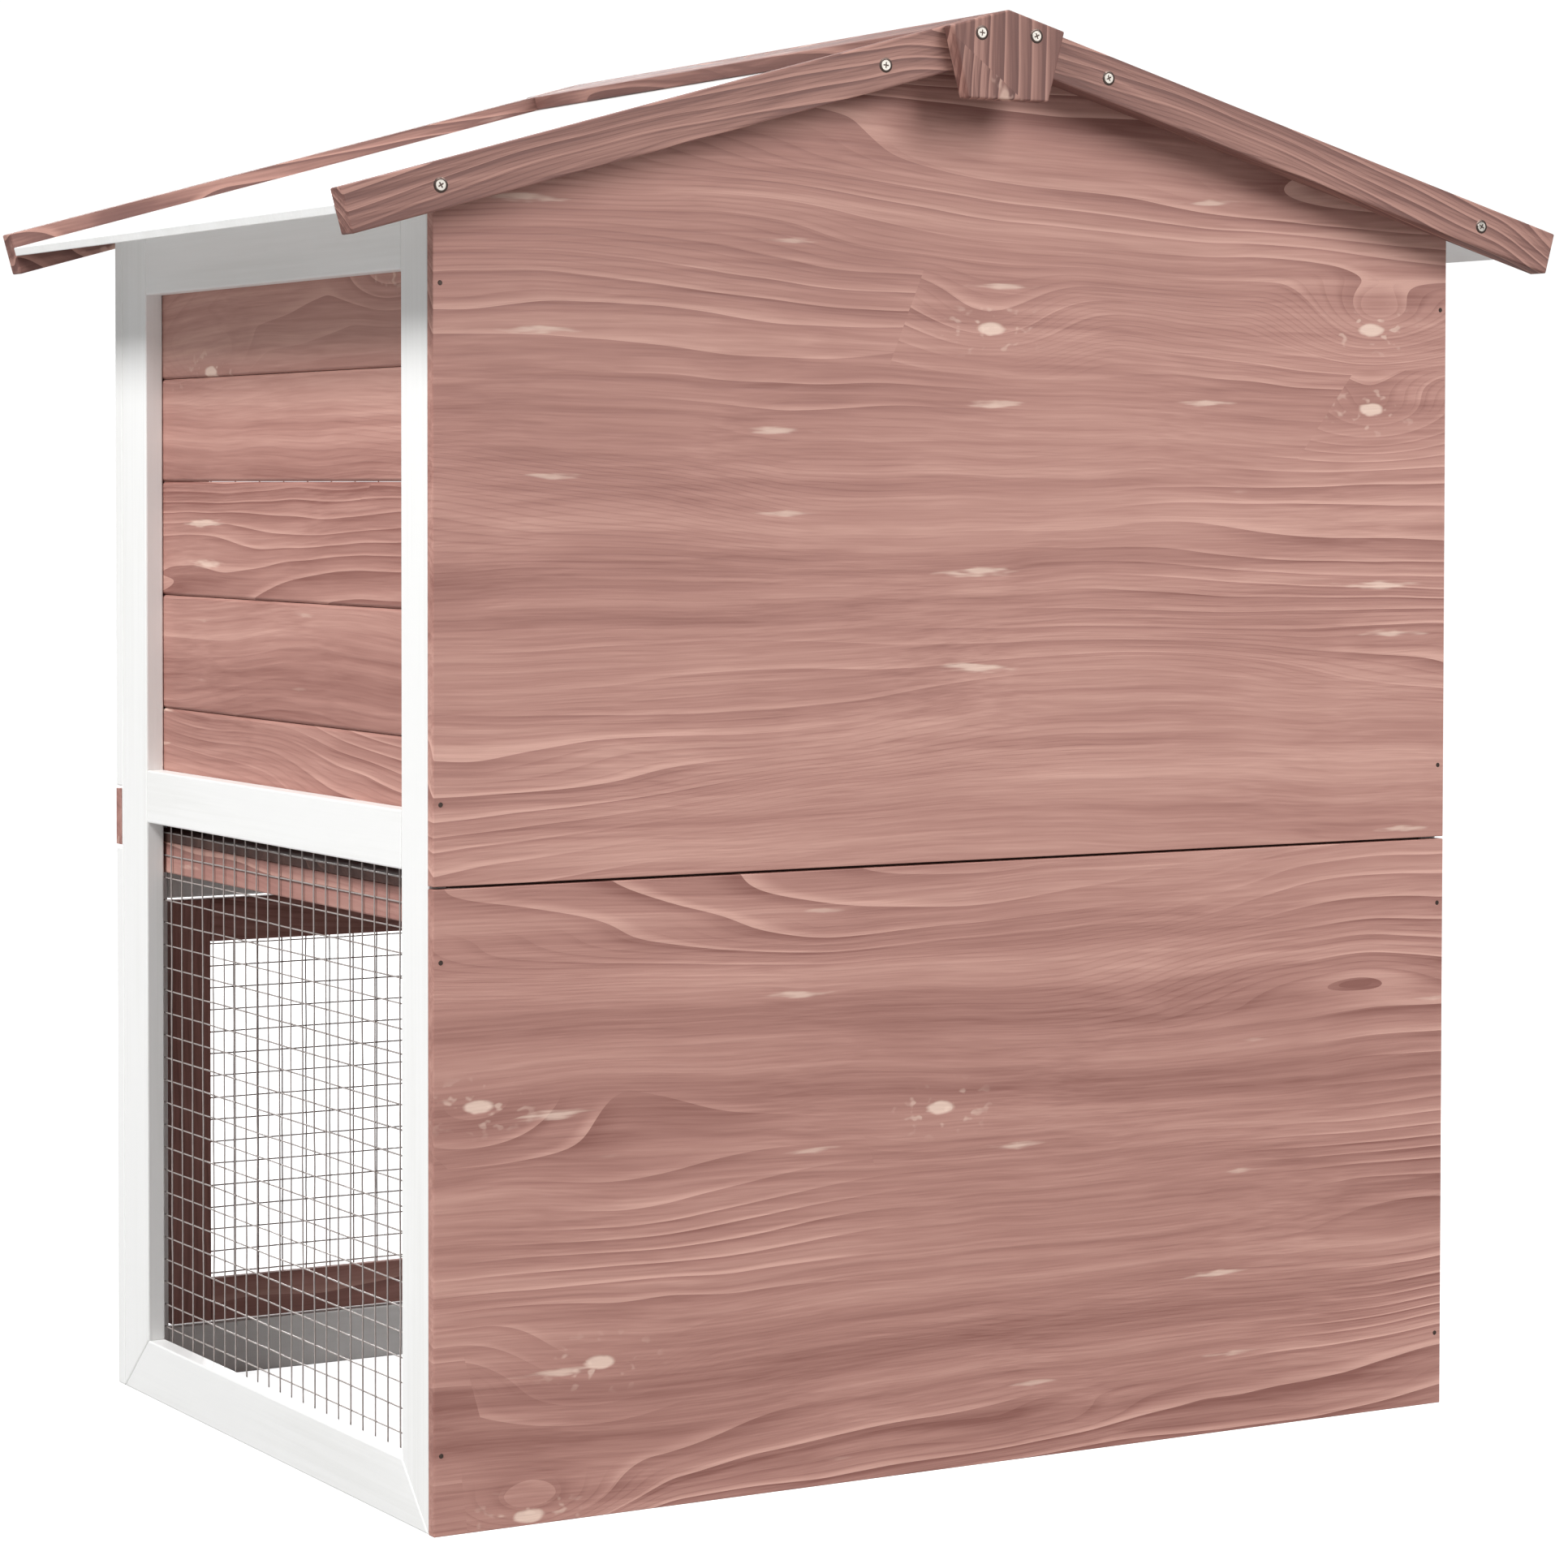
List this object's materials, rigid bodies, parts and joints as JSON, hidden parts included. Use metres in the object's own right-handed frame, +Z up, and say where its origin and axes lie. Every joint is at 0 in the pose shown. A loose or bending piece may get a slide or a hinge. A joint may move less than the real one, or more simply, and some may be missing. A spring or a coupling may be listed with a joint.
{
  "type": "rabbit hutch",
  "caption": "Two-storey wooden rabbit hutch with a gable roof, mesh run below, closed den above, hinged front doors, pull-out tray and ramp.",
  "frame": {"origin": "on the ground under the middle of the bounding box", "axes": "+X right seen from the front, +Y to the back, +Z up; the doors and the tray are on the -Y side"},
  "size_m": [0.932, 0.6092, 0.9541],
  "materials": {
    "white_paint": "white paint on planed softwood",
    "brown_stain": "dusty red-brown stained softwood",
    "dark_trim": "darker red-brown stained softwood",
    "plywood": "bare plywood and softwood",
    "wire": "galvanised welded wire",
    "hinge_steel": "zinc-plated steel",
    "tray_zinc": "galvanised sheet"
  },
  "bodies": {
    "hutch": {"left_front_stile": "white_paint", "left_rear_stile": "white_paint", "left_bottom_rail": "white_paint", "left_middle_rail": "white_paint", "left_top_rail": "white_paint", "right_front_stile": "white_paint", "right_rear_stile": "white_paint", "right_bottom_rail": "white_paint", "right_middle_rail": "white_paint", "right_top_rail": "white_paint", "front_left_stile": "white_paint", "front_right_stile": "white_paint", "front_bottom_rail": "white_paint", "front_middle_rail": "white_paint", "front_gable_board": "white_paint", "roof_board_left": "white_paint", "roof_board_right": "white_paint", "back_panel_lower": "brown_stain", "back_panel_upper": "brown_stain", "left_plank_1": "brown_stain", "left_plank_2": "brown_stain", "left_plank_3": "brown_stain", "left_plank_4": "brown_stain", "left_plank_5": "brown_stain", "right_plank_1": "brown_stain", "right_plank_2": "brown_stain", "right_plank_3": "brown_stain", "right_plank_4": "brown_stain", "right_plank_5": "brown_stain", "ridge_strip_left": "dark_trim", "ridge_strip_right": "dark_trim", "front_barge_left": "dark_trim", "front_barge_right": "dark_trim", "rear_barge_left": "dark_trim", "rear_barge_right": "dark_trim", "front_ridge_cap": "dark_trim", "rear_ridge_cap": "dark_trim", "left_tray_runner": "brown_stain", "right_tray_runner": "brown_stain", "upper_floor": "plywood", "left_wire_mesh": "wire", "right_wire_mesh": "wire", "lower_door_lower_hinge_fixed_leaf": "hinge_steel", "lower_door_upper_hinge_fixed_leaf": "hinge_steel", "upper_door_lower_hinge_fixed_leaf": "hinge_steel", "upper_door_upper_hinge_fixed_leaf": "hinge_steel"},
    "lower_door": {"lower_door_frame": "brown_stain", "lower_door_mesh": "wire", "lower_door_lower_hinge_door_leaf": "hinge_steel", "lower_door_upper_hinge_door_leaf": "hinge_steel"},
    "upper_door": {"upper_door_frame": "brown_stain", "upper_door_panel": "brown_stain", "upper_door_mesh": "wire", "upper_door_lower_hinge_door_leaf": "hinge_steel", "upper_door_upper_hinge_door_leaf": "hinge_steel"},
    "tray": {"tray_pan": "tray_zinc", "tray_front": "brown_stain"},
    "ramp": {"ramp": "plywood"},
    "lower_turn_button": {"lower_turn_button": "brown_stain"},
    "upper_turn_button": {"upper_turn_button": "brown_stain"}
  },
  "joints": [
    {"name": "lower_door_hinge", "type": "hinge", "parent": "hutch", "child": "lower_door", "pos_m": [-0.357, -0.2675, 0.195], "axis": [0, 0, -1], "range_deg": [0, 170]},
    {"name": "upper_door_hinge", "type": "hinge", "parent": "hutch", "child": "upper_door", "pos_m": [-0.357, -0.2675, 0.6], "axis": [0, 0, -1], "range_deg": [0, 170]},
    {"name": "tray_slide", "type": "slide", "parent": "hutch", "child": "tray", "axis": [0, -1, 0], "range_m": [0, 0.42]},
    {"name": "ramp_pivot", "type": "hinge", "parent": "hutch", "child": "ramp", "pos_m": [-0.3448, 0.1467, 0.3802], "axis": [0, -1, 0], "range_deg": [0, 45]},
    {"name": "lower_button_turn", "type": "hinge", "parent": "hutch", "child": "lower_turn_button", "pos_m": [0.366, -0.267, 0.1935], "axis": [0, 1, 0], "range_deg": [0, 90]},
    {"name": "upper_button_turn", "type": "hinge", "parent": "hutch", "child": "upper_turn_button", "pos_m": [0.366, -0.267, 0.6045], "axis": [0, 1, 0], "range_deg": [0, 90]}
  ]
}
